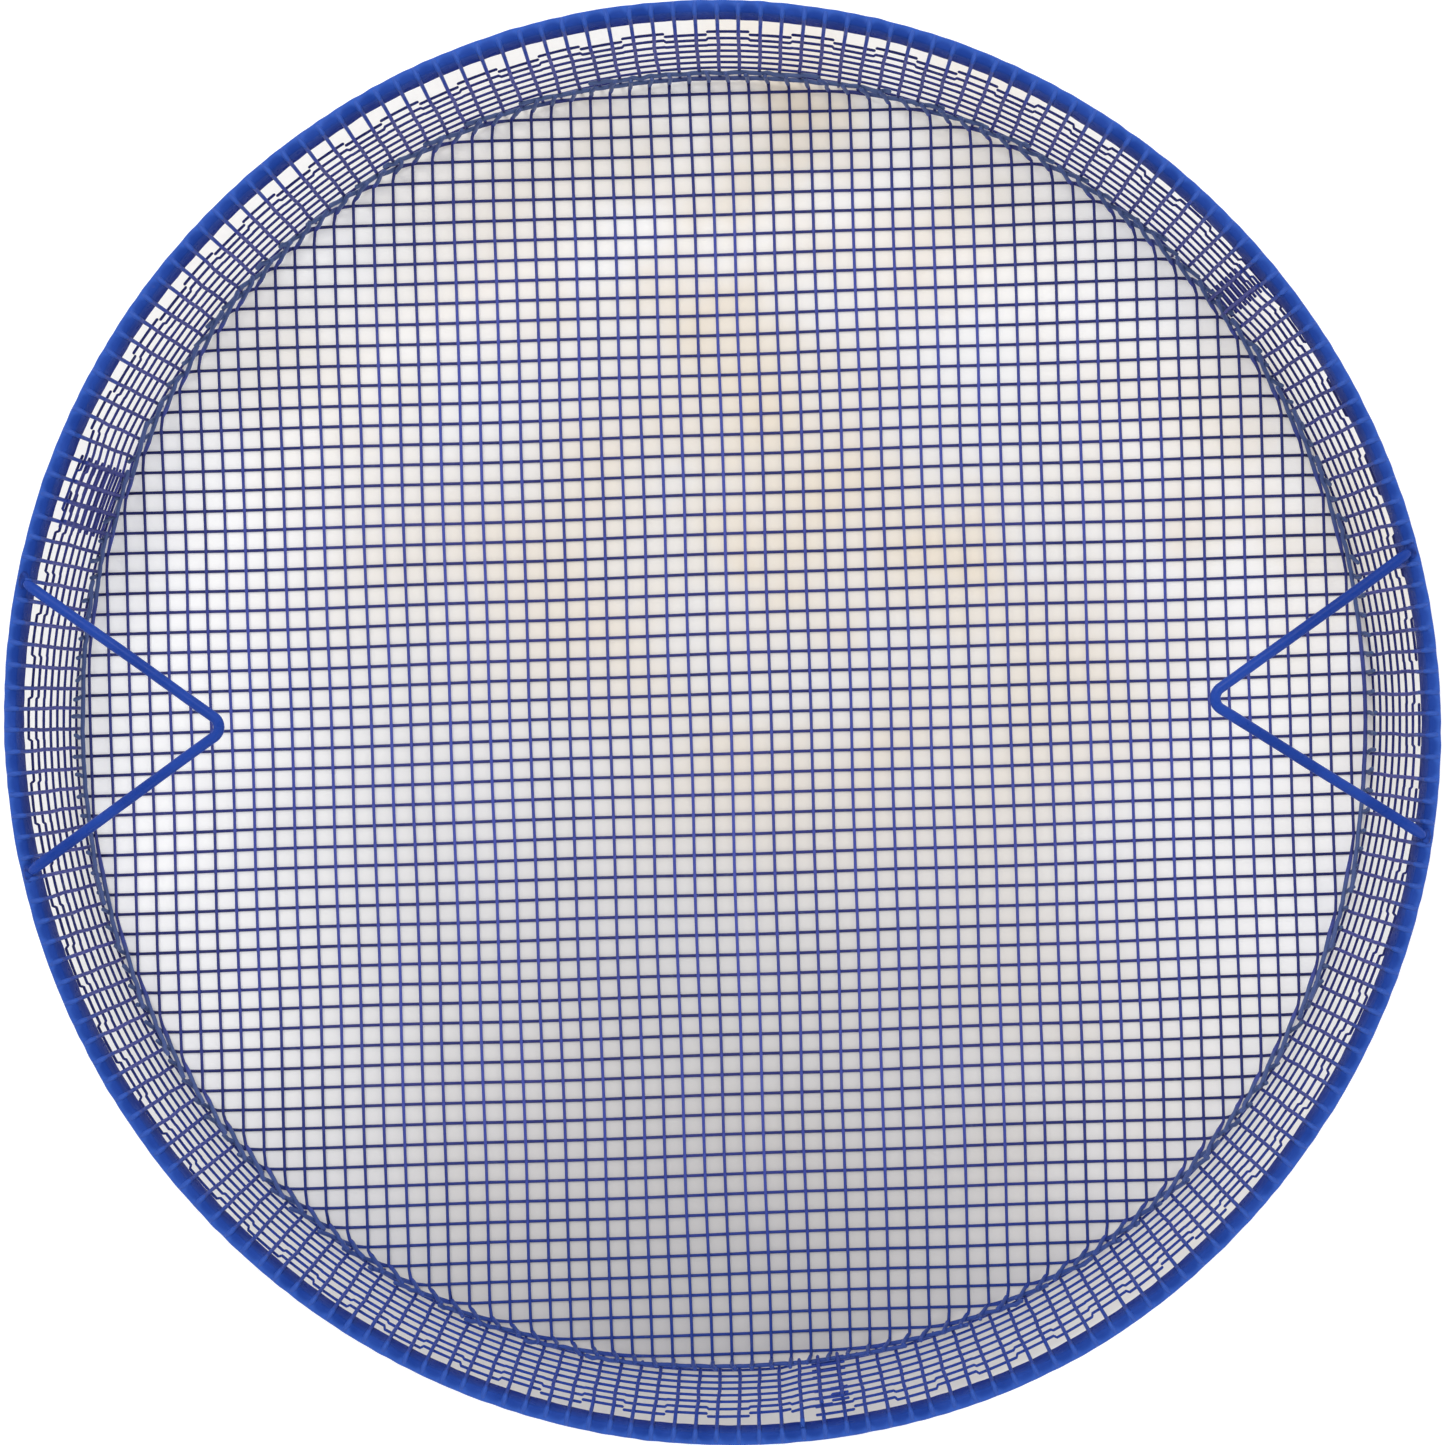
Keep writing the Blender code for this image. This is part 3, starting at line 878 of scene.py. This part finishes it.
def build_weld(side, letter, material):
    """A lumpy mound of weld along the bar, over the end of a rod."""
    node = f"weld_{side}_{letter}"
    rng = np.random.default_rng(91 + ord(letter) + len(side))
    centre = weld_place(node)
    away = unit(centre * (1.0, 1.0, 0.0))
    aside = np.cross(UP, away)
    long, wide, high = WELD_SIZE
    polar = math.pi * (np.arange(WELD_RINGS) + 0.5)[:, None, None] / WELD_RINGS
    turns = 2.0 * math.pi * np.arange(WELD_SIDES)[None, :, None] / WELD_SIDES
    lumps = 1.0 + WELD_LUMPS * rng.uniform(-1.0, 1.0, (WELD_RINGS, WELD_SIDES, 1))
    size = np.sin(polar) * lumps
    rings = (
        centre
        - long * np.cos(polar) * aside
        - wide * size * np.cos(turns) * away
        + high * size * np.sin(turns) * UP
    )
    bead = WireMesh()
    bead.add_rings(rings, np.full(rings.shape[:2], PLAIN_TONE), closed=False)
    bead.build(f"weld_bead_{side}_{letter}", material, "coat_weld", node)


# ---- studio --------------------------------------------------------------------------
def build_floor():
    """A wide round floor that curves up into a backdrop all the way round."""
    curve = np.linspace(0.0, math.pi / 2, BACKDROP_STEPS)
    radii = FLOOR_RADIUS + BACKDROP_BEND * np.sin(curve)
    heights = BACKDROP_BEND * (1.0 - np.cos(curve))
    radii = np.append(radii, radii[-1])
    heights = np.append(heights, BACKDROP_HEIGHT)
    turns = np.linspace(0.0, 2.0 * math.pi, BACKDROP_SIDES, endpoint=False)
    points = spot(radii[:, None], turns[None, :], heights[:, None])
    index = np.arange(points.shape[0] * BACKDROP_SIDES).reshape(-1, BACKDROP_SIDES)
    after = np.roll(index, -1, axis=1)
    quads = np.stack((index[:-1], after[:-1], after[1:], index[1:]), axis=-1)
    mesh = bpy.data.meshes.new("floor")
    faces = [index[0].tolist(), *quads.reshape(-1, 4).tolist()]
    mesh.from_pydata(points.reshape(-1, 3).tolist(), [], faces)
    mesh.materials.append(floor_finish())
    floor = bpy.data.objects.new("floor", mesh)
    bpy.context.scene.collection.objects.link(floor)


def add_softbox(name, place, size, watts):
    """A square soft light that faces the middle of the basket."""
    lamp = bpy.data.lights.new(name, "AREA")
    lamp.shape = "SQUARE"
    lamp.size = size
    lamp.energy = watts
    light = bpy.data.objects.new(name, lamp)
    light.location = place
    aim = -light.location
    light.rotation_euler = aim.to_track_quat("-Z", "Y").to_euler()
    bpy.context.scene.collection.objects.link(light)


def build_world():
    """Soft, slightly cool light from all round."""
    world = bpy.data.worlds.new("studio")
    world.use_nodes = True
    backdrop = world.node_tree.nodes["Background"]
    backdrop.inputs["Color"].default_value = (0.95, 0.97, 1.0, 1.0)
    backdrop.inputs["Strength"].default_value = 0.42
    bpy.context.scene.world = world


def build_camera():
    """Looks straight down, with the hoop filling the frame."""
    lens = bpy.data.cameras.new("camera")
    lens.sensor_width = SENSOR
    distance = CAMERA_PLACE[2] - HOOP_TOP
    lens.lens = SENSOR * HOOP_SHARE * distance / (2.0 * HOOP_OUTER)
    lens.shift_x = -CAMERA_PLACE[0] / distance * lens.lens / SENSOR
    lens.shift_y = -CAMERA_PLACE[1] / distance * lens.lens / SENSOR
    camera = bpy.data.objects.new("camera", lens)
    camera.location = CAMERA_PLACE
    bpy.context.scene.collection.objects.link(camera)
    bpy.context.scene.camera = camera


def build_studio():
    """Floor, light and camera."""
    build_floor()
    build_world()
    add_softbox("window", place=(-0.35, 0.95, 1.55), size=0.7, watts=12.4)
    add_softbox("far_side", place=(0.8, -1.2, 1.1), size=1.0, watts=4.8)
    build_camera()
    bpy.context.scene.view_settings.view_transform = "Standard"


build_hoop(hoop_coat())
build_wall(wall_coat())
build_bottom(bottom_coat())
HANDLE_COAT = handle_coat()
WELD_COAT = weld_coat()
for hand in CORNERS:
    build_handle(hand, HANDLE_COAT)
    for weld_letter in "ab":
        build_weld(hand, weld_letter, WELD_COAT)
build_studio()
